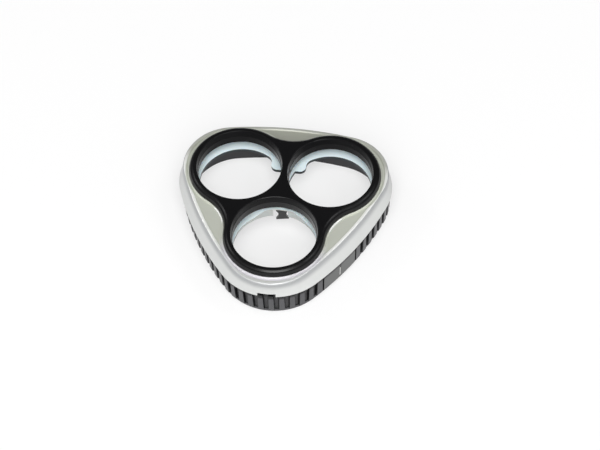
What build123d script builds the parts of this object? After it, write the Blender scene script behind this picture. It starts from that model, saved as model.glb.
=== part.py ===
from build123d import *
from math import atan2, cos, degrees, hypot, radians, sin, sqrt
import os

# Head holder of a three-head rotary shaver, in millimetres.
# The origin is on the plane that the skirt stands on, on the axis between the three heads.
# +Z points up to the heads, and the front corner of the rounded triangle points to -Y.

# Layout of the three heads
CORNERS = (-90, 30, 150)  # azimuth of each corner and head: front, right, left
GUARD_BORE_R = 11.45  # bore that a cutter guard comes up through
BORE_FLARE = 0.42  # how much wider a bore is at its mouth
MOUTH_LAND = 1.51  # flat web between two mouths
FIT = 0.06  # clearance between mouldings that locate each other

# Heights, each counted from one named before it
BAND_TOP = 7.95  # foot of the skirt to its shoulder, which carries the cover
EDGE_GAP = 0.33  # shoulder to the visible lower edge of the cover
FLANK_RISE = 4.15  # lower edge of the cover to the end of its flank
RIDGE_RISE = 0.55  # end of the flank to the crest of the ridge
PANEL_DEPTH = 0.28  # crest down to the leaf-shaped panels
LIP_RISE = 0.47  # panels to the top of the lip round the bezel
BEZEL_RISE = 1.74  # lip to the flat top of the bezel
TUBE_LENGTH = 4.09  # top of the bezel to the lower end of its tubes
MOUTH_DEPTH = 1.8  # top of the bezel to the step in each bore
LEDGE_DROP = 0.45  # shoulder of the skirt down to the top of the frame's plate
PLATE_THICKNESS = 1.0
HUB_RISE = 1.8  # top of the plate to the top of the frame's hub
GRIP_DROP = 1.4  # underside of the frame to the end of the lock's grip

# Ring bezel
RIM_WIDTH = 2.48  # bore to the outline of the bezel
TUBE_WALL = 1.35
WAIST_R = 11.87  # concave arc of the outline between two rings
BEZEL_SEAT = 0.95  # depth of the rebate in the cover below the lip
ROLL_R = 1.6  # rolled outer edge
FINE_GROOVE = 0.14  # width and depth of the fine line in the roll
FINE_GROOVE_DROP = 0.49
WEB_THICKNESS = 1.4
SLAB_WALL = 1.8  # wall left round the hollow under the web
BORE_STEP = 0.07
BORE_EDGE_R = 0.25

# Cover
COVER_WALL = 1.1
RIDGE_R = 0.7  # crest to the end of the flank
RIDGE_ROUNDING = 0.5
RIDGE_FALL = 0.5  # crest to the foot of its inner slope
RIDGE_SLOPE = 0.25
RIDGE_CORNER_MARGIN = 1.68  # bezel to crest at a corner
PANEL_WIDTH = 4.85  # bezel waist to crest at the middle of a side
RIDGE_ROUNDNESS = 0.826  # corner radius, as a share of the largest that keeps the sides bulged
FLARE_CORNER = 1.41  # crest to lower edge at a corner
FLARE_SIDE = 2.68
EDGE_ROUNDNESS = 0.872
FLARE_POWER = 1.5  # above 1 the flank is concave
LIP_WIDTH = 0.36
LIP_ROUNDING = 0.3
ROOF_THICKNESS = 1.3
OPENING_SEAT = 1.05  # width of the rebate floor that the bezel sits on
SEAT_LIP = 0.6  # part of the wall that reaches down to the skirt
NOTCH_WIDTH = 5.0
NOTCH_HEIGHT = 0.95
TAB_SETBACK = 0.45  # face of the skirt's tab behind the face of the band

# Skirt
EDGE_OVERHANG = 0.45  # lower edge of the cover over the top of the band
BAND_DRAFT = 0.3
RIB_FOOT_R = 0.35
SKIRT_WALL = 1.48  # of the flange at the foot
FOOT_EDGE_R = 0.2
SPIGOT_RISE = 1.65
SPIGOT_WALL = 1.0
SPIGOT_GAP = 0.1
FLANGE_HEIGHT = 1.0  # plain foot below the ribs
FLANGE_SETBACK = 0.55  # face of the flange behind the lower ends of the ribs
FLUTE_PITCH = 2.9
FLUTE_WIDTH = 1.7
FLUTE_NARROWING = 0.4  # how much narrower a flute is at its lower end
FLUTE_DEPTH = 0.75
FLUTE_SLOPE = 0.2  # how far each side leans in from the face to the floor
PAD_FROM_FRONT = 23.75  # along the band, front corner to the middle of the pad
PAD_WIDTH = 13.3  # between the grooves at its ends
PAD_GROOVE_WIDTH = 0.55
PAD_GROOVE_DEPTH = 0.5
INDEX_WIDTH = 0.45
INDEX_DEPTH = 0.12
INDEX_FOOT = 1.9
INDEX_HEIGHT = 5.3

# Retaining frame
FRAME_HOLE_MARGIN = 0.15  # how much larger a hole is than the bore above it
FRAME_HOLE_SHIFT = 0.3  # centre of a hole from the head's axis towards the holder's axis
HUB_R = 5.0
HUB_SPREAD = 4.0  # how much wider the hub is where it meets the plate
HUB_PLATE = 0.4
HUB_COLLAR_WALL = 1.1
TONGUE_END = 12.4  # axis to the rounded end of the tongue between the rear holes
TONGUE_WIDTH = 9.7
TONGUE_LENGTH = 5.0
TONGUE_CORNER_R = 1.7
TONGUE_ROOT_R = 2.5

# Centre lock
GRIP_WIDTH = 3.5
GRIP_WAIST = 2.1
GRIP_LENGTH = 5.4
GRIP_END = 0.8  # thickness of the waisted plate at each end
GRIP_TURN = 10  # the grip stands a little round from the lock's own line
GRIP_GAP = 0.1
POCKET_GAP = 0.3
SHAFT_R = 1.0
BAYONET_LENGTH = 3.8
BAYONET_WIDTH = 1.5
BAYONET_HEIGHT = 0.8
KEEPER_HEIGHT = 1.1  # floor of the socket that the bayonet hooks over
SOCKET_GAP = 0.15
BOSS_WALL = 0.9

# Snap nibs
NIB_WIDTH = 3.0
NIB_HEIGHT = 0.5
NIB_REACH = 0.35
NIB_ANGLE = 38  # from a head's outward direction
NIB_SPREAD = 6.0  # from the middle of a side
COVER_NIB_RISE = 0.47  # lower edge of the cover to its nibs

HEIGHT_MARGIN = 5.0  # how far a cutting solid runs past what it cuts

COVER_EDGE_Z = BAND_TOP + EDGE_GAP
SHOULDER_Z = COVER_EDGE_Z + FLANK_RISE
RIDGE_Z = SHOULDER_Z + RIDGE_RISE
PANEL_Z = RIDGE_Z - PANEL_DEPTH
LIP_Z = PANEL_Z + LIP_RISE
BEZEL_TOP = LIP_Z + BEZEL_RISE
TUBE_FOOT_Z = BEZEL_TOP - TUBE_LENGTH
LEDGE_Z = BAND_TOP - LEDGE_DROP
FRAME_FOOT_Z = LEDGE_Z - PLATE_THICKNESS
HUB_TOP_Z = LEDGE_Z + HUB_RISE
GRIP_FOOT_Z = FRAME_FOOT_Z - GRIP_DROP

HEAD_PITCH = (GUARD_BORE_R + BORE_FLARE + MOUTH_LAND / 2) / cos(radians(30))
RING_R = GUARD_BORE_R + RIM_WIDTH
TUBE_R = GUARD_BORE_R + TUBE_WALL
SEAT_Z = LIP_Z - BEZEL_SEAT
ROOF_Z = PANEL_Z - ROOF_THICKNESS
GRIP_TOP_Z = HUB_TOP_Z - HUB_PLATE - GRIP_GAP
POCKET_R = hypot(GRIP_LENGTH, GRIP_WIDTH) / 2 + POCKET_GAP
SHAFT_HOLE_R = SHAFT_R + FIT
BAYONET_Z = TUBE_FOOT_Z + KEEPER_HEIGHT + GRIP_GAP
SOCKET_R = BAYONET_LENGTH / 2 + SOCKET_GAP
COVER_NIB_Z = COVER_EDGE_Z + COVER_NIB_RISE
FROM_BELOW = (Align.CENTER, Align.CENTER, Align.MIN)


def at(radius, azimuth):
    """Point at a distance and direction from the axis."""
    return Vector(radius * cos(radians(azimuth)), radius * sin(radians(azimuth)), 0)


def on_heads(solid):
    """One copy of a solid at each head, turned so that its +X points outward."""
    return [Rot(0, 0, azimuth) * (Pos(HEAD_PITCH, 0, 0) * solid) for azimuth in CORNERS]


def prism(face, low, high):
    """Straight solid on a flat outline between two heights."""
    return extrude(Pos(0, 0, low) * face, high - low)


def rounded_triangle(corner, side, corner_r):
    """Outline given by its reach at the corners and mid-sides and its corner radius.

    Each side is one long arc, tangent to the two corner arcs.
    """
    spread = corner - corner_r
    run = side - spread / 2
    rise = spread * cos(radians(30))
    side_r = (run**2 - corner_r**2 + rise**2) / (2 * (run - corner_r))
    edges = []
    for azimuth in CORNERS:
        centre = at(spread, azimuth)
        ends = []
        for turn in (-60, 60):
            side_centre = at(side - side_r, azimuth + turn)
            ends.append(centre + (centre - side_centre).normalized() * corner_r)
        edges.append(ThreePointArc(ends[0], at(corner, azimuth), ends[1]))
    for index, edge in enumerate(list(edges)):
        following = edges[(index + 1) % len(CORNERS)]
        middle = at(side, CORNERS[index] + 60)
        edges.append(ThreePointArc(edge @ 1, middle, following @ 0))
    return make_face(edges)


def waist_centre():
    """Distance from the axis to the centre of a concave waist arc of the bezel."""
    across = HEAD_PITCH * cos(radians(30))
    return HEAD_PITCH / 2 + sqrt((RING_R + WAIST_R) ** 2 - across**2)


def three_rings(inset):
    """Outline of the bezel, moved inward by a distance."""
    edges = []
    for azimuth in CORNERS:
        centre = at(HEAD_PITCH, azimuth)
        ends = []
        for turn in (-60, 60):
            toward = (at(waist_centre(), azimuth + turn) - centre).normalized()
            ends.append(centre + toward * (RING_R - inset))
        edges.append(ThreePointArc(ends[0], at(HEAD_PITCH + RING_R - inset, azimuth), ends[1]))
    for index, edge in enumerate(list(edges)):
        following = edges[(index + 1) % len(CORNERS)]
        middle = at(waist_centre() - WAIST_R - inset, CORNERS[index] + 60)
        edges.append(ThreePointArc(edge @ 1, middle, following @ 0))
    return make_face(edges)


def triangle_sizes(corner, side, roundness):
    """Sizes of a rounded triangle whose corner radius is a share of the one with straight sides."""
    return corner, side, roundness * (2 * side - corner)


CREST = triangle_sizes(
    HEAD_PITCH + RING_R + RIDGE_CORNER_MARGIN,
    waist_centre() - WAIST_R + PANEL_WIDTH,
    RIDGE_ROUNDNESS,
)
COVER_EDGE = triangle_sizes(CREST[0] + FLARE_CORNER, CREST[1] + FLARE_SIDE, EDGE_ROUNDNESS)


def grown(outline, distance):
    """The same outline moved outward by a distance."""
    return tuple(value + distance for value in outline)


def cover_outline(z, inset=0.0):
    """Outline of the cover's flank at a height, from its edge up to the shoulder."""
    shoulder = grown(CREST, RIDGE_R)
    share = (SHOULDER_Z - z) / (SHOULDER_Z - COVER_EDGE_Z)
    flare = max(share, 0.0) ** FLARE_POWER
    mixed = tuple(top + (low - top) * flare for top, low in zip(shoulder, COVER_EDGE))
    return grown(mixed, -inset)


def flank(inset, low, high, steps=4):
    """Solid inside the cover's concave flank, or inside its inner face."""
    faces = []
    for step in range(steps + 1):
        z = low + (high - low) * step / steps
        faces.append(Pos(0, 0, z) * rounded_triangle(*cover_outline(z, inset)))
    return loft(faces)


BAND_TOP_OUTLINE = grown(COVER_EDGE, -EDGE_OVERHANG)
BAND_FOOT_OUTLINE = grown(BAND_TOP_OUTLINE, -BAND_DRAFT)
BAND_MIDDLE_OUTLINE = grown(BAND_TOP_OUTLINE, -BAND_DRAFT / 2)
FLANGE_OUTLINE = grown(BAND_FOOT_OUTLINE, -FLANGE_SETBACK)
SKIRT_INNER = grown(FLANGE_OUTLINE, -SKIRT_WALL)
BAND_HEIGHT = BAND_TOP - FLANGE_HEIGHT
BAND_MIDDLE = FLANGE_HEIGHT + BAND_HEIGHT / 2
SPIGOT_TOP = BAND_TOP + SPIGOT_RISE
SPIGOT_OUTER = cover_outline(SPIGOT_TOP, COVER_WALL + SPIGOT_GAP)
NIB_REACH_R = SPIGOT_OUTER[1] - NIB_REACH


def band_reach(z):
    """How far the drafted face of the band stands out from its middle at a height."""
    return BAND_DRAFT * (z - BAND_MIDDLE) / BAND_HEIGHT


def front_block(width, low, high, inner, outer):
    """Block across the front corner, between two reaches from the axis."""
    return Pos(0, -(inner + outer) / 2, (low + high) / 2) * Box(width, outer - inner, high - low)


def side_nibs(reach_in, reach_out, low, high, width):
    """Pairs of blocks along each side, facing outward."""
    blocks = []
    for azimuth in CORNERS:
        for shift in (-1, 1):
            block = Box(reach_out - reach_in, width, high - low)
            place = Pos((reach_in + reach_out) / 2, shift * NIB_SPREAD, (low + high) / 2)
            blocks.append(Rot(0, 0, azimuth + 60) * (place * block))
    return blocks


def make_cover():
    """Flared shell with a ridge, sunk panels, a lip round the bezel and a notched edge."""
    body = flank(0, COVER_EDGE_Z, SHOULDER_Z)
    body += prism(rounded_triangle(*grown(CREST, RIDGE_R)), SHOULDER_Z, RIDGE_Z)
    body = fillet(body.edges().group_by(Axis.Z)[-1], RIDGE_ROUNDING)
    panel_outline = Pos(0, 0, PANEL_Z) * rounded_triangle(*grown(CREST, -RIDGE_FALL))
    ridge_outline = Pos(0, 0, RIDGE_Z) * rounded_triangle(*grown(CREST, RIDGE_SLOPE - RIDGE_FALL))
    body -= loft([panel_outline, ridge_outline], ruled=True)
    lip = prism(three_rings(-FIT - LIP_WIDTH), PANEL_Z, LIP_Z)
    body += fillet(lip.edges().group_by(Axis.Z)[-1], LIP_ROUNDING)
    body += prism(rounded_triangle(*grown(COVER_EDGE, SEAT_LIP - COVER_WALL)), BAND_TOP, COVER_EDGE_Z)
    body -= flank(COVER_WALL, COVER_EDGE_Z, ROOF_Z)
    body -= prism(rounded_triangle(*grown(COVER_EDGE, -COVER_WALL)), 0, COVER_EDGE_Z)
    body -= prism(three_rings(-FIT), SEAT_Z, BEZEL_TOP)
    body -= prism(three_rings(OPENING_SEAT), 0, BEZEL_TOP)
    nib_top = COVER_NIB_Z + NIB_HEIGHT
    nib_root = cover_outline(nib_top, COVER_WALL / 2)[1]
    for block in side_nibs(NIB_REACH_R, nib_root, COVER_NIB_Z, nib_top, NIB_WIDTH):
        body += block
    notch_top = COVER_EDGE_Z + NOTCH_HEIGHT
    body -= front_block(NOTCH_WIDTH, 0, notch_top, SPIGOT_OUTER[0], COVER_EDGE[0] + HEIGHT_MARGIN)
    return body


def roll_groove():
    """Fine line all round the rolled edge of the bezel."""
    inset = ROLL_R - sqrt(ROLL_R**2 - (ROLL_R - FINE_GROOVE_DROP) ** 2)
    middle = BEZEL_TOP - FINE_GROOVE_DROP
    low, high = middle - FINE_GROOVE / 2, middle + FINE_GROOVE / 2
    return prism(three_rings(-FIT), low, high) - prism(three_rings(inset + FINE_GROOVE), low, high)


def make_bezel():
    """Three rings in one waisted slab, with tubes down through the cover and the lock's socket."""
    body = prism(three_rings(0), SEAT_Z, BEZEL_TOP)
    body = fillet(body.edges().group_by(Axis.Z)[-1], ROLL_R)
    body -= roll_groove()
    web_z = BEZEL_TOP - WEB_THICKNESS
    body -= prism(three_rings(SLAB_WALL), SEAT_Z, web_z)
    for tube in on_heads(prism(Circle(TUBE_R), TUBE_FOOT_Z, web_z)):
        body += tube
    body += prism(Circle(SOCKET_R + BOSS_WALL), TUBE_FOOT_Z, web_z)
    mouth_r = GUARD_BORE_R + BORE_FLARE
    mouth = Cone(GUARD_BORE_R + BORE_STEP, mouth_r, MOUTH_DEPTH, align=FROM_BELOW)
    for hole in on_heads(prism(Circle(GUARD_BORE_R), 0, BEZEL_TOP)):
        body -= hole
    for hole in on_heads(Pos(0, 0, BEZEL_TOP - MOUTH_DEPTH) * mouth):
        body -= hole
    mouth_edges = [
        edge
        for edge in body.edges().group_by(Axis.Z)[-1]
        if edge.geom_type == GeomType.CIRCLE and abs(edge.radius - mouth_r) < FIT
    ]
    body = fillet(mouth_edges, BORE_EDGE_R)
    keeper_top = TUBE_FOOT_Z + KEEPER_HEIGHT
    body -= prism(Circle(SOCKET_R), keeper_top, BAYONET_Z + BAYONET_HEIGHT + GRIP_GAP)
    body -= prism(Circle(SHAFT_HOLE_R), TUBE_FOOT_Z, keeper_top)
    body -= prism(Rectangle(2 * SOCKET_R, BAYONET_WIDTH + SOCKET_GAP), TUBE_FOOT_Z, keeper_top)
    nib = Box(NIB_REACH + TUBE_WALL / 2, NIB_WIDTH, NIB_HEIGHT)
    nib_place = Pos(TUBE_R + NIB_REACH / 2 - TUBE_WALL / 4, 0, ROOF_Z - FIT - NIB_HEIGHT / 2)
    for turn in (-NIB_ANGLE, NIB_ANGLE):
        for block in on_heads(Rot(0, 0, turn) * (nib_place * nib)):
            body += block
    return body


def band_places(distances):
    """Places on the middle of the band, by distance from the front corner, with +X outward."""
    path = rounded_triangle(*BAND_MIDDLE_OUTLINE).wire()
    start = path.param_at_point(at(BAND_MIDDLE_OUTLINE[0], CORNERS[0]))
    ahead = path.position_at((start + 1 / path.length) % 1.0)
    sense = 1 if ahead.X > 0 else -1
    places = []
    for distance in distances:
        share = (start + sense * distance / path.length) % 1.0
        point = path.position_at(share)
        along = path.tangent_at(share) * sense
        places.append(Pos(point.X, point.Y, 0) * Rot(0, 0, degrees(atan2(-along.X, along.Y))))
    return places


def flute_section(width, z):
    """Section across a flute at a height: steep sides and a flat floor, with +X outward."""
    face = band_reach(z)
    floor, rim = width / 2 - FLUTE_SLOPE, width / 2 + FLUTE_SLOPE
    inner, outer = face - FLUTE_DEPTH, face + FLUTE_DEPTH
    corners = [(inner, -floor), (outer, -rim), (outer, rim), (inner, floor)]
    return Pos(0, 0, z) * make_face(Polyline(*corners, close=True))


def flute_cutters():
    """Narrowing scoops that share the band evenly from one end of the pad round to the other."""
    foot = flute_section(FLUTE_WIDTH - FLUTE_NARROWING, FLANGE_HEIGHT - FLUTE_DEPTH)
    scoop = loft([foot, flute_section(FLUTE_WIDTH, BAND_TOP + FLUTE_DEPTH)], ruled=True)
    free_length = rounded_triangle(*BAND_MIDDLE_OUTLINE).wire().length - PAD_WIDTH
    count = round(free_length / FLUTE_PITCH)
    start = PAD_FROM_FRONT + PAD_WIDTH / 2
    distances = [start + free_length * index / count for index in range(1, count)]
    return [place * scoop for place in band_places(distances)]


def pad_cutters():
    """Narrow grooves at the two ends of the pad, and the shallow groove of the index line."""
    ends = [PAD_FROM_FRONT - PAD_WIDTH / 2, PAD_FROM_FRONT + PAD_WIDTH / 2]
    lean = Rot(0, degrees(atan2(BAND_DRAFT, BAND_HEIGHT)), 0)
    groove = lean * Box(2 * PAD_GROOVE_DEPTH, PAD_GROOVE_WIDTH, BAND_HEIGHT + 2 * FLUTE_DEPTH)
    cutters = [place * Pos(0, 0, BAND_MIDDLE) * groove for place in band_places(ends)]
    mark = lean * Box(2 * INDEX_DEPTH, INDEX_WIDTH, INDEX_HEIGHT)
    mark_z = INDEX_FOOT + INDEX_HEIGHT / 2
    place = band_places([PAD_FROM_FRONT])[0]
    cutters.append(place * Pos(band_reach(mark_z), 0, mark_z) * mark)
    return cutters


def make_skirt():
    """Fluted band on a plain flange, with a pad, a spigot for the cover and a tab in its notch."""
    foot = Pos(0, 0, FLANGE_HEIGHT) * rounded_triangle(*BAND_FOOT_OUTLINE)
    top = Pos(0, 0, BAND_TOP) * rounded_triangle(*BAND_TOP_OUTLINE)
    body = loft([foot, top], ruled=True)
    body = fillet(body.edges().group_by(Axis.Z)[0], RIB_FOOT_R)
    body -= flute_cutters() + pad_cutters()
    flange = prism(rounded_triangle(*FLANGE_OUTLINE), 0, FLANGE_HEIGHT)
    body += fillet(flange.edges().group_by(Axis.Z)[0], FOOT_EDGE_R)
    body += prism(rounded_triangle(*SPIGOT_OUTER), BAND_TOP, SPIGOT_TOP)
    tab_top = COVER_EDGE_Z + NOTCH_HEIGHT - FIT
    tab_reach = (SPIGOT_OUTER[0] - SPIGOT_WALL / 2, BAND_TOP_OUTLINE[0] - TAB_SETBACK)
    body += front_block(NOTCH_WIDTH - 2 * FIT, BAND_TOP, tab_top, *tab_reach)
    body -= prism(rounded_triangle(*SKIRT_INNER), -HEIGHT_MARGIN, LEDGE_Z)
    body -= prism(rounded_triangle(*grown(SPIGOT_OUTER, -SPIGOT_WALL)), LEDGE_Z, SPIGOT_TOP + HEIGHT_MARGIN)
    recess_low = COVER_NIB_Z - FIT
    recess_high = COVER_NIB_Z + NIB_HEIGHT + FIT
    recess_reach = (NIB_REACH_R - FIT, SPIGOT_OUTER[1] + NIB_REACH)
    for block in side_nibs(*recess_reach, recess_low, recess_high, NIB_WIDTH + 2 * FIT):
        body -= block
    return body


def rear_tongue():
    """Rounded tongue of the frame's plate between the two rear holes."""
    outline = RectangleRounded(TONGUE_WIDTH, TONGUE_LENGTH, TONGUE_CORNER_R)
    return prism(Pos(0, TONGUE_END + TONGUE_LENGTH / 2) * outline, FRAME_FOOT_Z, LEDGE_Z)


def tongue_roots(body):
    """Upright edges where the sides of the tongue meet the rear holes."""
    straight_end = TONGUE_END + TONGUE_CORNER_R + FIT
    return [
        edge
        for edge in body.edges().filter_by(Axis.Z)
        if abs(abs(edge.center().X) - TONGUE_WIDTH / 2) < FIT and edge.center().Y > straight_end
    ]


def make_frame():
    """Thin plate with three holes, a tongue between the rear ones and a raised hub for the lock."""
    body = prism(rounded_triangle(*grown(SKIRT_INNER, -2 * FIT)), FRAME_FOOT_Z, LEDGE_Z)
    body += Pos(0, 0, LEDGE_Z) * Cone(HUB_R + HUB_SPREAD, HUB_R, HUB_RISE, align=FROM_BELOW)
    outline = Circle(GUARD_BORE_R + FRAME_HOLE_MARGIN)
    hole = Pos(-FRAME_HOLE_SHIFT, 0, 0) * prism(outline, 0, HUB_TOP_Z + HEIGHT_MARGIN)
    for solid in on_heads(hole):
        body -= solid
    body += rear_tongue()
    body = fillet(tongue_roots(body), TONGUE_ROOT_R)
    body -= prism(Circle(POCKET_R), 0, HUB_TOP_Z - HUB_PLATE)
    body += prism(Circle(SHAFT_HOLE_R + HUB_COLLAR_WALL), HUB_TOP_Z, TUBE_FOOT_Z)
    body -= prism(Circle(SHAFT_HOLE_R), 0, TUBE_FOOT_Z + HEIGHT_MARGIN)
    return body


def make_lock():
    """Quarter-turn lock: grip bar between two waisted plates, shaft and bayonet head."""
    half = GRIP_WIDTH / 2
    middle_z = (GRIP_FOOT_Z + GRIP_TOP_Z) / 2
    outline = [
        Line((-half, GRIP_FOOT_Z), (half, GRIP_FOOT_Z)),
        ThreePointArc((half, GRIP_FOOT_Z), (GRIP_WAIST / 2, middle_z), (half, GRIP_TOP_Z)),
        Line((half, GRIP_TOP_Z), (-half, GRIP_TOP_Z)),
        ThreePointArc((-half, GRIP_TOP_Z), (-GRIP_WAIST / 2, middle_z), (-half, GRIP_FOOT_Z)),
    ]
    grip = extrude(Plane.XZ * make_face(outline), GRIP_LENGTH / 2, both=True)
    side = Pos(0, 0, middle_z) * Box(GRIP_WIDTH, GRIP_LENGTH - 2 * GRIP_END, GRIP_TOP_Z - GRIP_FOOT_Z)
    for shift in (-1, 1):
        grip -= Pos(shift * (GRIP_WAIST + GRIP_WIDTH) / 2, 0, 0) * side
    grip = Rot(0, 0, GRIP_TURN) * grip
    shaft = prism(Circle(SHAFT_R), GRIP_TOP_Z, BAYONET_Z)
    bayonet = Circle(BAYONET_LENGTH / 2) & Rectangle(BAYONET_WIDTH, BAYONET_LENGTH)
    return grip + shaft + prism(bayonet, BAYONET_Z, BAYONET_Z + BAYONET_HEIGHT)


os.makedirs("parts", exist_ok=True)
for name, make in (
    ("top_cover", make_cover),
    ("ring_bezel", make_bezel),
    ("base_skirt", make_skirt),
    ("retaining_frame", make_frame),
    ("centre_lock", make_lock),
):
    export_step(make(), f"parts/{name}.step")
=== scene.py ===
import math

import bmesh
import bpy
from mathutils import Matrix, Vector


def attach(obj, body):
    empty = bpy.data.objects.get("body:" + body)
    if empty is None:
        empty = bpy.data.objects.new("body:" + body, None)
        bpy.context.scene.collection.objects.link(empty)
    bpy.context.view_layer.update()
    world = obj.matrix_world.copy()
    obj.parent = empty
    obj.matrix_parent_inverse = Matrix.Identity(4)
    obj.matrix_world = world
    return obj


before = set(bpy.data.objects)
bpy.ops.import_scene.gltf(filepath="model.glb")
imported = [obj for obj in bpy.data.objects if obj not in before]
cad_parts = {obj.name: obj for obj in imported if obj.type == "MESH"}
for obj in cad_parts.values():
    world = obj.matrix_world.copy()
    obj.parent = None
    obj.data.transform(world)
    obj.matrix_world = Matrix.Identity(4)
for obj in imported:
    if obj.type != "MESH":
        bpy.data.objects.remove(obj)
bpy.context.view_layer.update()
MM = 0.001

# Camera, as fitted to the three round openings of the photograph
CAMERA_AZIMUTH = math.radians(9.33)
CAMERA_ELEVATION = math.radians(52.83)
CAMERA_ROLL = math.radians(-2.424)
CAMERA_DISTANCE = 711.1 * MM
CAMERA_TARGET = Vector((6.017, -7.461, 9.412)) * MM
CAMERA_LENS = 156.3
CAMERA_SENSOR = 36
CAMERA_CLIP = (0.01, 10)

# Square soft lights: place and width in metres, and power in watts
LIGHTS = (
    ("key_light", (0.08, -0.50, 1.20), 0.72, 8.0),
    ("front_light", (0.15, -1.00, 0.95), 1.00, 8.0),
    ("right_light", (0.65, 0.22, 1.00), 0.36, 1.3),
    ("left_light", (-0.84, 0.30, 0.82), 0.36, 1.3),
)

# Room: bright in front and at the sides, dim towards one direction, behind and above the object
DIM_SIDE = (-0.08, 0.75, 0.66)
DIM_EDGE = (0.10, 0.60)
ROOM_BRIGHT = 0.95
ROOM_DIM = 0.06

# Floor
FLOOR_PALE = (0.40, 0.40, 0.40, 1)
FLOOR_GLOW = 0.57
FLOOR_HALF = 3.0

# Colours, linear
WHITE = (1, 1, 1, 1)
SILVER = (0.675, 0.685, 0.675, 1)
# Painted shade in the panels: a darker, greener silver, darkest at the rear
SILVER_PANEL_SHADE = (0.61, 0.63, 0.555, 1)
SILVER_REAR_PANEL_SHADE = (0.42, 0.43, 0.37, 1)
# Painted shade on the upper flank, under the ridge
SILVER_PAINTED_SHADE = (0.43, 0.44, 0.445, 1)
# Painted highlight along the ridge
SILVER_PAINTED_HIGHLIGHT = (0.96, 0.97, 0.94, 1)
# Painted shade on the rear of the ridge
SILVER_REAR_RIDGE_SHADE = (0.52, 0.53, 0.48, 1)
# Painted reflection on the lip at the front corner
SILVER_LIP_REFLECTION = (0.69, 0.68, 0.71, 1)
BEZEL_BLACK = (0.006, 0.006, 0.0065, 1)
# Black plastic lightened to grey: black, partly a painted reflection of the floor on the ribs
SKIRT_BLACK_AND_SHEEN = (0.093, 0.093, 0.099, 1)
# Painted shade in the flutes and painted shadow under the cover's edge
SKIRT_PAINTED_SHADE = (0.002, 0.002, 0.0025, 1)
# The pad's grey: black, partly a painted reflection of the floor
SKIRT_PAD_AND_SHEEN = (0.135, 0.137, 0.136, 1)
# Painted shade on the skirt's inner walls
SKIRT_INSIDE_SHADE = (0.045, 0.045, 0.049, 1)
FRAME_BLUE = (0.82, 0.95, 0.99, 1)
# Painted shade on the frame's upright faces: deep teal at the rear, grey on the hub
FRAME_EDGE_SHADE = (0.004, 0.012, 0.016, 1)
FRAME_HUB_SHADE = (0.68, 0.71, 0.69, 1)
LOCK_BLACK = (0.024, 0.024, 0.024, 1)
PAINT_WHITE = (0.80, 0.80, 0.78, 1)

# Finishes: colour, roughness, depth of the grain in metres, change of tone, grains for each metre
FINISHES = {
    "satin_silver": (SILVER, 0.38, 0.000003, 0.04, 14000),
    "gloss_black": (BEZEL_BLACK, 0.26, 0.000001, 0.10, 5000),
    "satin_black": (SKIRT_BLACK_AND_SHEEN, 0.34, 0.000006, 0.12, 9000),
    "pale_blue": (FRAME_BLUE, 0.40, 0.000004, 0.05, 9000),
    "lock_black": (LOCK_BLACK, 0.35, 0.000004, 0.12, 9000),
    "paint_white": (PAINT_WHITE, 0.45, 0.000004, 0.03, 9000),
}
PATCHES_PER_METRE = 260
ROUGHNESS_SPREAD = 0.15
GRAIN_STRENGTH = 0.5
NOISE_DETAIL = 3.0
NOISE_ROUGHNESS = 0.55

# Heads, in millimetres
HEAD_PITCH = 14.578
HEAD_AZIMUTHS = (-90, 30, 150)

# Zones of the cover's painted shade, highlight and reflection, in millimetres: where a tone starts
# and where it is full. OUTWARD is what faces_out measures, which is below 0 on walls that face
# the centre axis
SHADE_HEIGHT = (10.4, 12.3)
PANEL_HEIGHT = (12.45, 12.6)
PANEL_OUTWARD = (6.5, 3.5)
REAR_PANEL_Y = (8, 16)
RIDGE_HEIGHT = (12.86, 12.94)
HIGHLIGHT_RIDGE_Y = (-24, -16)
REAR_RIDGE_Y = (8, 14)
LIP_HEIGHT = (12.4, 12.5)
LIP_HEAD_DISTANCE = (15.15, 14.75)
FRONT_LIP_Y = (-22, -15)
SILVER_METALLIC = 0.3

# Bezel: which faces count as far walls of the rear openings, and the gloss off and on them
BEZEL_WALL_OUTWARD = (-3, -8)
BEZEL_GLOSS = (0.30, 0.08)

# Zones of the skirt's painted shade and reflection, in millimetres. FLUTE_REACH is how far round a
# spot other walls count, and FLUTE_OPENNESS is the open share at which a spot is fully in a flute's
# painted shade and fully on a rib
PAD_DISTANCE = (6.7, 6.3)
FLANGE_HEIGHT = (0.9, 1.1)
COVER_SHADOW_HEIGHT = (6.0, 7.1)
SKIRT_WALL_OUTWARD = (-5, -10)
FLUTE_REACH = 1.6
FLUTE_OPENNESS = (0.60, 0.92)
FLUTE_SAMPLES = 8
SKIRT_GLOSS = 0.25

# Frame: which faces count as cut edges, where along Y in millimetres their painted shade turns from
# grey to deep teal, and the glow
EDGE_TILT = 0.4
EDGE_SHADE_Y = (0, 5)
FRAME_GLOW = 0.15
FRAME_GLOW_DEPTH = (0.0006, 0.0008, 0.001)

# Index line: millimetres on the middle of the skirt's drafted band
INDEX_PLACE = Vector((18.260, -17.573, 0))
INDEX_AZIMUTH = math.radians(-34.2)
INDEX_LOW, INDEX_HIGH = 1.92, 5.3
INDEX_HALF = 0.215
INDEX_STEPS = 16
BAND_MIDDLE = 4.475
BAND_HEIGHT = 6.95
BAND_DRAFT = 0.3

# Paint in the index line: millimetres behind the band's face, and places across it from -1 to 1
PAINT_FACE = 0.05
PAINT_EDGE = 0.07
PAINT_BACK = 0.125
PAINT_HOLLOW = 0.25
PAINT_ACROSS = (-1.0, -0.85, 0.0, 0.85, 1.0)


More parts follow.
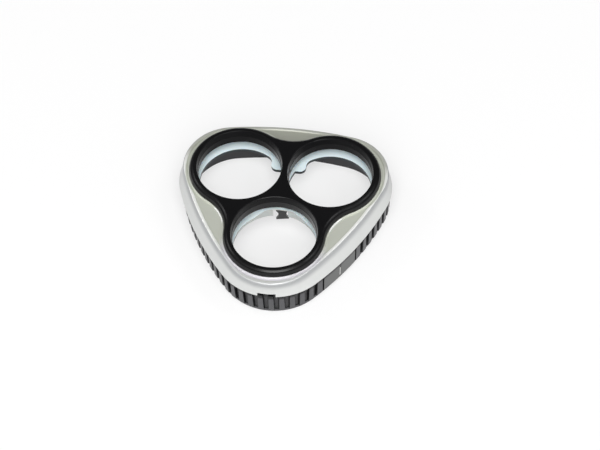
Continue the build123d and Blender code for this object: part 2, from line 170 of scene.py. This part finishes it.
class Tree:
    """Empty node tree of a material or of the world, with short ways to fill it."""

    def __init__(self, owner):
        owner.use_nodes = True
        owner.node_tree.nodes.clear()
        self.nodes = owner.node_tree.nodes
        self.links = owner.node_tree.links

    def put(self, node, socket, value):
        """Give an input a constant or the output of another node."""
        if isinstance(value, bpy.types.NodeSocket):
            self.links.new(value, node.inputs[socket])
        else:
            node.inputs[socket].default_value = value

    def add(self, kind, inputs=None, **settings):
        node = self.nodes.new(kind)
        for name, value in settings.items():
            setattr(node, name, value)
        for socket, value in (inputs or {}).items():
            self.put(node, socket, value)
        return node

    def place(self, kind="Object"):
        """Texture coordinates of a kind."""
        return self.add("ShaderNodeTexCoord").outputs[kind]

    def part(self, vector, axis):
        """One axis of a vector."""
        return self.add("ShaderNodeSeparateXYZ", {0: vector}).outputs[axis]

    def math(self, operation, *numbers):
        return self.add("ShaderNodeMath", dict(enumerate(numbers)), operation=operation).outputs[0]

    def vector(self, operation, first, second, output):
        made = self.add("ShaderNodeVectorMath", {0: first, 1: second}, operation=operation)
        return made.outputs[output]

    def blend(self, factor, first, second):
        """Blend of two colours."""
        inputs = {"Factor": factor, "A": first, "B": second}
        return self.add("ShaderNodeMix", inputs, data_type="RGBA").outputs["Result"]

    def rise(self, value, start, end, low=0.0, high=1.0, slope="SMOOTHSTEP"):
        """Low at one value and high at another, with a smooth or a LINEAR slope between them."""
        inputs = {"Value": value, "From Min": start, "From Max": end, "To Min": low, "To Max": high}
        return self.add("ShaderNodeMapRange", inputs, interpolation_type=slope).outputs["Result"]

    def spread(self, value, low, high):
        """Map a 0 to 1 value to a range."""
        return self.rise(value, 0.0, 1.0, low, high, "LINEAR")

    def zone(self, value, ends, slope="SMOOTHSTEP"):
        """0 at one length and 1 at another, given in millimetres."""
        return self.rise(value, ends[0] * MM, ends[1] * MM, slope=slope)

    def along(self, axis, ends, slope="SMOOTHSTEP"):
        """Zone along an axis of the object."""
        return self.zone(self.part(self.place(), axis), ends, slope)

    def flat_place(self):
        """Object coordinates in plan."""
        return self.vector("MULTIPLY", self.place(), (1, 1, 0), "Vector")

    def plan_distance(self, centre):
        """Distance in plan from an upright axis, given in millimetres, as metres."""
        return self.vector("DISTANCE", self.flat_place(), Vector(centre) * MM, "Value")

    def head_distance(self):
        """Distance in plan from the nearest head's axis, in metres."""
        nearest = None
        for azimuth in HEAD_AZIMUTHS:
            x, y = math.cos(math.radians(azimuth)), math.sin(math.radians(azimuth))
            apart = self.plan_distance((x * HEAD_PITCH, y * HEAD_PITCH, 0))
            nearest = self.math("MINIMUM", nearest, apart) if nearest else apart
        return nearest

    def faces_out(self, ends):
        """Zone by how far a face looks away from the centre axis, times its distance from it."""
        outward = self.vector("DOT_PRODUCT", self.flat_place(), self.place("Normal"), "Value")
        return self.zone(outward, ends)


class Plastic(Tree):
    """Moulded plastic with a fine satin grain and slight changes of tone."""

    def __init__(self, name):
        colour, roughness, depth, speckle, grains = FINISHES[name]
        self.material = bpy.data.materials.new(name)
        super().__init__(self.material)
        self.shader = self.add("ShaderNodeBsdfPrincipled")
        self.add("ShaderNodeOutputMaterial", {"Surface": self.shader.outputs[0]})
        tone = self.noise(PATCHES_PER_METRE)
        self.base = self.blend(tone, scaled(colour, 1 - speckle), scaled(colour, 1 + speckle))
        smoothest, roughest = roughness * (1 - ROUGHNESS_SPREAD), roughness * (1 + ROUGHNESS_SPREAD)
        relief = {"Strength": GRAIN_STRENGTH, "Distance": depth, "Height": self.noise(grains)}
        self.set("Base Color", self.base)
        self.set("Roughness", self.spread(tone, smoothest, roughest))
        self.set("Normal", self.add("ShaderNodeBump", relief).outputs["Normal"])

    def noise(self, scale):
        """Noise on object coordinates, where the scale is in cells for each metre."""
        inputs = {"Scale": scale, "Detail": NOISE_DETAIL, "Roughness": NOISE_ROUGHNESS}
        return self.add("ShaderNodeTexNoise", inputs | {"Vector": self.place()}).outputs["Fac"]

    def set(self, socket, value):
        self.put(self.shader, socket, value)


def scaled(colour, factor):
    return tuple(value * factor for value in colour[:3]) + (1,)


def link_object(name, data):
    made = bpy.data.objects.new(name, data)
    bpy.context.scene.collection.objects.link(made)
    return made


def make_camera():
    """Camera on its fitted place, with the photograph's roll."""
    azimuth, elevation = CAMERA_AZIMUTH, CAMERA_ELEVATION
    back = Vector(
        (
            math.sin(azimuth) * math.cos(elevation),
            -math.cos(azimuth) * math.cos(elevation),
            math.sin(elevation),
        )
    )
    right = Vector((math.cos(azimuth), math.sin(azimuth), 0))
    up = back.cross(right)
    turned_right = math.cos(CAMERA_ROLL) * right + math.sin(CAMERA_ROLL) * up
    turned_up = math.cos(CAMERA_ROLL) * up - math.sin(CAMERA_ROLL) * right
    camera = link_object("camera", bpy.data.cameras.new("camera"))
    camera.data.lens = CAMERA_LENS
    camera.data.sensor_width = CAMERA_SENSOR
    camera.data.clip_start, camera.data.clip_end = CAMERA_CLIP
    axes = Matrix((turned_right, turned_up, back)).transposed().to_4x4()
    camera.matrix_world = Matrix.Translation(CAMERA_TARGET + back * CAMERA_DISTANCE) @ axes
    bpy.context.scene.camera = camera


def make_lights():
    """Soft lights that face the object. The rest comes from the room."""
    for name, place, size, power in LIGHTS:
        light = link_object(name, bpy.data.lights.new(name, "AREA"))
        light.data.size = size
        light.data.energy = power
        light.location = place
        light.rotation_euler = (-Vector(place)).to_track_quat("-Z", "Y").to_euler()


def make_world():
    """Bright in front and at the sides, dim behind and overhead, and white where it is looked at."""
    world = bpy.data.worlds.new("studio")
    bpy.context.scene.world = world
    tree = Tree(world)
    toward = tree.vector("DOT_PRODUCT", tree.place("Generated"), DIM_SIDE, "Value")
    level = tree.rise(toward, *DIM_EDGE, ROOM_BRIGHT, ROOM_DIM)
    room = tree.add("ShaderNodeBackground", {"Strength": level})
    shown = tree.add("ShaderNodeBackground", {"Color": WHITE, "Strength": 1.0})
    path = tree.add("ShaderNodeLightPath").outputs
    looked_at = tree.math("MAXIMUM", path["Is Camera Ray"], path["Is Transmission Ray"])
    mix = tree.add("ShaderNodeMixShader", {"Fac": looked_at, 1: room.outputs[0], 2: shown.outputs[0]})
    tree.add("ShaderNodeOutputWorld", {"Surface": mix.outputs[0]})


def floor_material():
    """Pale floor that keeps the shadow and looks near white, also in a mirror or through glass."""
    material = bpy.data.materials.new("floor_pale")
    tree = Tree(material)
    path = tree.add("ShaderNodeLightPath").outputs
    looked_at = tree.math("MAXIMUM", path["Is Camera Ray"], path["Is Glossy Ray"])
    looked_at = tree.math("MAXIMUM", looked_at, path["Is Transmission Ray"])
    lift = tree.math("MULTIPLY", looked_at, FLOOR_GLOW)
    glow = tree.add("ShaderNodeEmission", {"Color": WHITE, "Strength": lift})
    matte = tree.add("ShaderNodeBsdfDiffuse", {"Color": FLOOR_PALE})
    both = tree.add("ShaderNodeAddShader", {0: matte.outputs[0], 1: glow.outputs[0]})
    tree.add("ShaderNodeOutputMaterial", {"Surface": both.outputs[0]})
    return material


def make_floor():
    mesh = bpy.data.meshes.new("floor")
    corners = [(x * FLOOR_HALF, y * FLOOR_HALF, 0) for x, y in ((-1, -1), (1, -1), (1, 1), (-1, 1))]
    mesh.from_pydata(corners, [], [(0, 1, 2, 3)])
    mesh.materials.append(floor_material())
    floor = link_object("floor", mesh)


def silver_material():
    """Satin silver of the cover, with painted shade on the upper flank, a greener painted shade in the
    panels that is darker at the rear, a painted highlight on the ridge with painted shade on its rear,
    and a painted reflection on the front of the lip.
    """
    silver = Plastic("satin_silver")
    # Painted shade on the upper flank, full above SHADE_HEIGHT
    colour = silver.blend(silver.along("Z", SHADE_HEIGHT), silver.base, SILVER_PAINTED_SHADE)

    # Painted shade in the panels, darker at the rear
    panel = silver.blend(silver.along("Y", REAR_PANEL_Y), SILVER_PANEL_SHADE, SILVER_REAR_PANEL_SHADE)
    in_panel = silver.math("MULTIPLY", silver.faces_out(PANEL_OUTWARD), silver.along("Z", PANEL_HEIGHT))
    colour = silver.blend(in_panel, colour, panel)

    # Painted highlight along the ridge, fading out towards the front corner
    ridge = silver.blend(silver.along("Y", HIGHLIGHT_RIDGE_Y), SILVER, SILVER_PAINTED_HIGHLIGHT)
    # Painted shade on the rear of the ridge
    ridge = silver.blend(silver.along("Y", REAR_RIDGE_Y), ridge, SILVER_REAR_RIDGE_SHADE)
    colour = silver.blend(silver.along("Z", RIDGE_HEIGHT), colour, ridge)

    # Painted reflection on the lip near the front corner, and the panels' painted shade on the rest of
    # the lip
    lip = silver.blend(silver.along("Y", FRONT_LIP_Y), SILVER_LIP_REFLECTION, SILVER_PANEL_SHADE)
    near_head = silver.zone(silver.head_distance(), LIP_HEAD_DISTANCE)
    on_lip = silver.math("MULTIPLY", near_head, silver.along("Z", LIP_HEIGHT))
    silver.set("Base Color", silver.blend(on_lip, colour, lip))
    silver.set("Metallic", SILVER_METALLIC)
    return silver.material


def bezel_material():
    """Gloss black of the bezel, duller on the far walls of the rear openings."""
    black = Plastic("gloss_black")
    far_wall = black.faces_out(BEZEL_WALL_OUTWARD)
    black.set("Specular IOR Level", black.spread(far_wall, *BEZEL_GLOSS))
    return black.material


def skirt_material():
    """Satin black of the fluted skirt, lightened on the ribs and the pad by a painted reflection, with
    painted shade in the flutes, under the cover's edge and on the inner walls.
    """
    black = Plastic("satin_black")
    reach = {"Distance": FLUTE_REACH * MM}
    # Painted shade in the flutes, where other walls are near
    openness = black.add("ShaderNodeAmbientOcclusion", reach, samples=FLUTE_SAMPLES)
    on_rib = black.rise(openness.outputs["AO"], *FLUTE_OPENNESS)
    on_pad = black.zone(black.plan_distance(INDEX_PLACE), PAD_DISTANCE)
    # The pad's grey, partly a painted reflection
    base = black.blend(on_pad, black.base, SKIRT_PAD_AND_SHEEN)
    colour = black.blend(on_rib, SKIRT_PAINTED_SHADE, base)
    colour = black.blend(black.along("Z", FLANGE_HEIGHT), base, colour)
    # Painted shadow under the cover's edge
    colour = black.blend(black.along("Z", COVER_SHADOW_HEIGHT), colour, SKIRT_PAINTED_SHADE)
    # Painted shade on the walls that face the centre axis
    colour = black.blend(black.faces_out(SKIRT_WALL_OUTWARD), colour, SKIRT_INSIDE_SHADE)
    black.set("Base Color", colour)
    black.set("Specular IOR Level", SKIRT_GLOSS)
    return black.material


def frame_material():
    """Pale blue, slightly translucent plastic, with painted shade on its upright faces: grey at the
    front and deep teal in the cut edges of the rear holes.
    """
    blue = Plastic("pale_blue")
    upright = blue.math("COMPARE", blue.part(blue.place("Normal"), "Z"), 0.0, EDGE_TILT)
    # Painted shade on upright faces, grey at the front and deep teal at the rear
    edge = blue.blend(blue.along("Y", EDGE_SHADE_Y, "LINEAR"), FRAME_HUB_SHADE, FRAME_EDGE_SHADE)
    blue.set("Base Color", blue.blend(upright, blue.base, edge))
    blue.set("Subsurface Weight", FRAME_GLOW)
    blue.set("Subsurface Radius", FRAME_GLOW_DEPTH)
    return blue.material


def make_index_paint():
    """White paint in the groove of the pad, with a slightly hollow face."""
    outward = Vector((math.cos(INDEX_AZIMUTH), math.sin(INDEX_AZIMUTH), 0))
    along = Vector((-outward.y, outward.x, 0))
    mesh = bmesh.new()
    rings = []
    for step in range(INDEX_STEPS + 1):
        z = INDEX_LOW + (INDEX_HIGH - INDEX_LOW) * step / INDEX_STEPS
        face = BAND_DRAFT * (z - BAND_MIDDLE) / BAND_HEIGHT
        at_end = step in (0, INDEX_STEPS)
        depths = [(side, PAINT_FACE * (1 - PAINT_HOLLOW * side**2)) for side in PAINT_ACROSS]
        depths = [(side, PAINT_EDGE if abs(side) == 1 or at_end else depth) for side, depth in depths]
        depths += [(1, PAINT_BACK), (-1, PAINT_BACK)]
        ring = []
        for side, depth in depths:
            across = outward * (face - depth) + along * (side * INDEX_HALF)
            ring.append(mesh.verts.new((INDEX_PLACE + across + Vector((0, 0, z))) * MM))
        rings.append(ring)
    for low, high in zip(rings, rings[1:]):
        for index in range(len(low)):
            following = (index + 1) % len(low)
            mesh.faces.new((low[index], low[following], high[following], high[index]))
    mesh.faces.new(list(reversed(rings[0])))
    mesh.faces.new(rings[-1])
    bmesh.ops.recalc_face_normals(mesh, faces=mesh.faces)
    data = bpy.data.meshes.new("index_paint")
    mesh.to_mesh(data)
    mesh.free()
    data.materials.append(Plastic("paint_white").material)
    paint = link_object("index_paint", data)
    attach(paint, "holder")


def dress(node, material):
    """Give a node of the frame its finish."""
    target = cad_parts[node]
    target.data.materials.clear()
    target.data.materials.append(material)


make_camera()
make_world()
make_lights()
make_floor()
dress("top_cover", silver_material())
dress("ring_bezel", bezel_material())
dress("base_skirt", skirt_material())
dress("retaining_frame", frame_material())
dress("centre_lock", Plastic("lock_black").material)
make_index_paint()

bpy.context.scene.view_settings.view_transform = "Standard"
